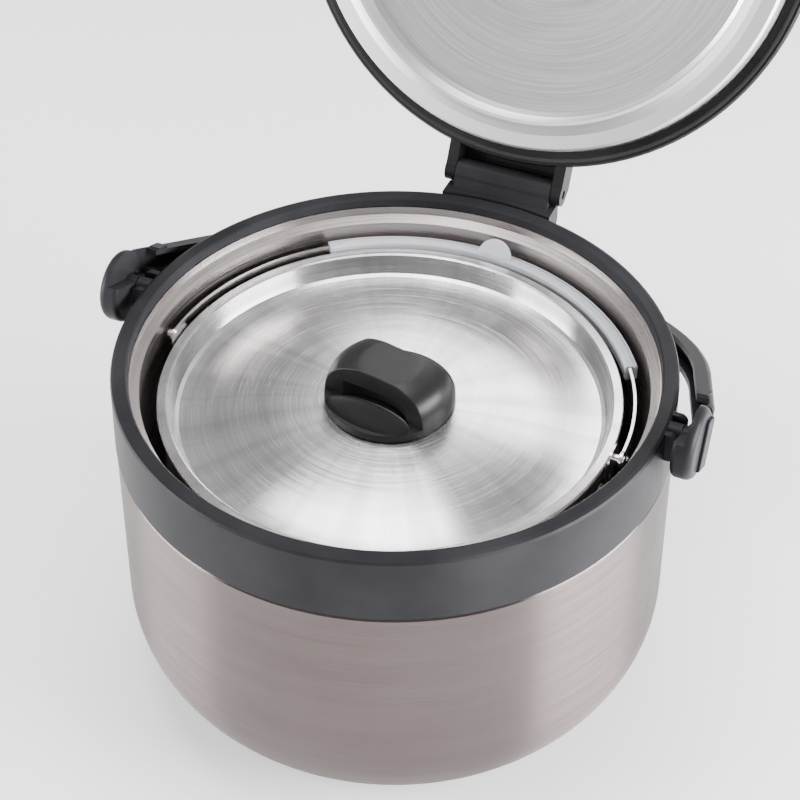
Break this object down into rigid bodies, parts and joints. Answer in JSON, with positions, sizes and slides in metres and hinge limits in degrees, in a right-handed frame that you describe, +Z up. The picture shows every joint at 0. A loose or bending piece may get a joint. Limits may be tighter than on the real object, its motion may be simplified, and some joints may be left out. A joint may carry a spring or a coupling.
{
  "type": "vacuum thermal cooker",
  "caption": "Insulated steel food cooker with a hinged latching lid, a swing carry handle, and a lift-out inner pot with its own knobbed lid and bail.",
  "frame": {"origin": "centre of the base pad's underside, on the vessel's axis", "axes": "+Z up along the vessel's axis, +Y towards the lid hinge, X through the carry handle's pivots"},
  "size_m": [0.3292, 0.4414, 0.4933],
  "materials": {
    "tinted_steel": "fine horizontal brush, warm tint",
    "liner_steel": "satin, turned",
    "lid_steel": "bright satin, turned",
    "plate_steel": "bead-blasted face, brushed middle",
    "hidden_steel": "plain",
    "bright_steel": "polished",
    "grey_plastic": "fine moulded texture",
    "black_plastic": "satin moulded",
    "knob_plastic": "satin moulded",
    "silicone": "translucent matte",
    "black_rubber": "matte",
    "foam": "open-cell foam",
    "spring_steel": "drawn wire"
  },
  "bodies": {
    "vessel": {"outer_shell": "tinted_steel", "inner_liner": "liner_steel", "outer_bottom": "hidden_steel", "vacuum_seal_cap": "hidden_steel", "base_cup": "black_plastic", "base_pad": "black_rubber", "collar_ring": "grey_plastic", "handle_pins": "bright_steel", "hinge_bracket": "grey_plastic", "hinge_screws": "bright_steel", "hinge_pin": "bright_steel"},
    "lid": {"lid_rim": "black_plastic", "lid_inner_plate": "plate_steel", "lid_gasket": "black_rubber", "lid_top_cover": "tinted_steel", "lid_insulation": "foam", "latch_spring": "spring_steel"},
    "latch": {"latch_button": "grey_plastic"},
    "handle": {"carry_handle": "grey_plastic"},
    "pot": {"pot_body": "lid_steel", "pot_base_disc": "hidden_steel", "right_pot_lug": "bright_steel", "left_pot_lug": "bright_steel", "lug_rivets": "bright_steel"},
    "bail": {"pot_bail": "bright_steel", "bail_sleeve": "silicone"},
    "inner_lid": {"pot_lid": "lid_steel", "lid_knob": "knob_plastic", "knob_screw": "bright_steel", "knob_washer": "bright_steel"}
  },
  "joints": [
    {"name": "lid_hinge", "type": "hinge", "parent": "vessel", "child": "lid", "pos_m": [0, 0.1573, 0.2058], "axis": [-1, 0, 0], "range_deg": [-114, 0]},
    {"name": "handle_swing", "type": "hinge", "parent": "vessel", "child": "handle", "pos_m": [0, 0.0085, 0.1945], "axis": [1, 0, 0], "range_deg": [0, 12]},
    {"name": "latch_press", "type": "slide", "parent": "lid", "child": "latch", "axis": [0, -0.4067, -0.9135], "range_m": [0, 0.004], "stiffness_N_per_m": 500, "springref_m": -0.002, "deforming": ["latch_spring"]},
    {"name": "pot_lift", "type": "slide", "parent": "vessel", "child": "pot", "axis": [0, 0, 1], "range_m": [0, 0.19]},
    {"name": "pot_bail_swing", "type": "hinge", "parent": "pot", "child": "bail", "pos_m": [-0.001, -0.0014, 0.176], "axis": [1, 0, 0], "range_deg": [0, 180]},
    {"name": "pot_lid_lift", "type": "slide", "parent": "pot", "child": "inner_lid", "axis": [0, 0, 1], "range_m": [0, 0.12]}
  ]
}
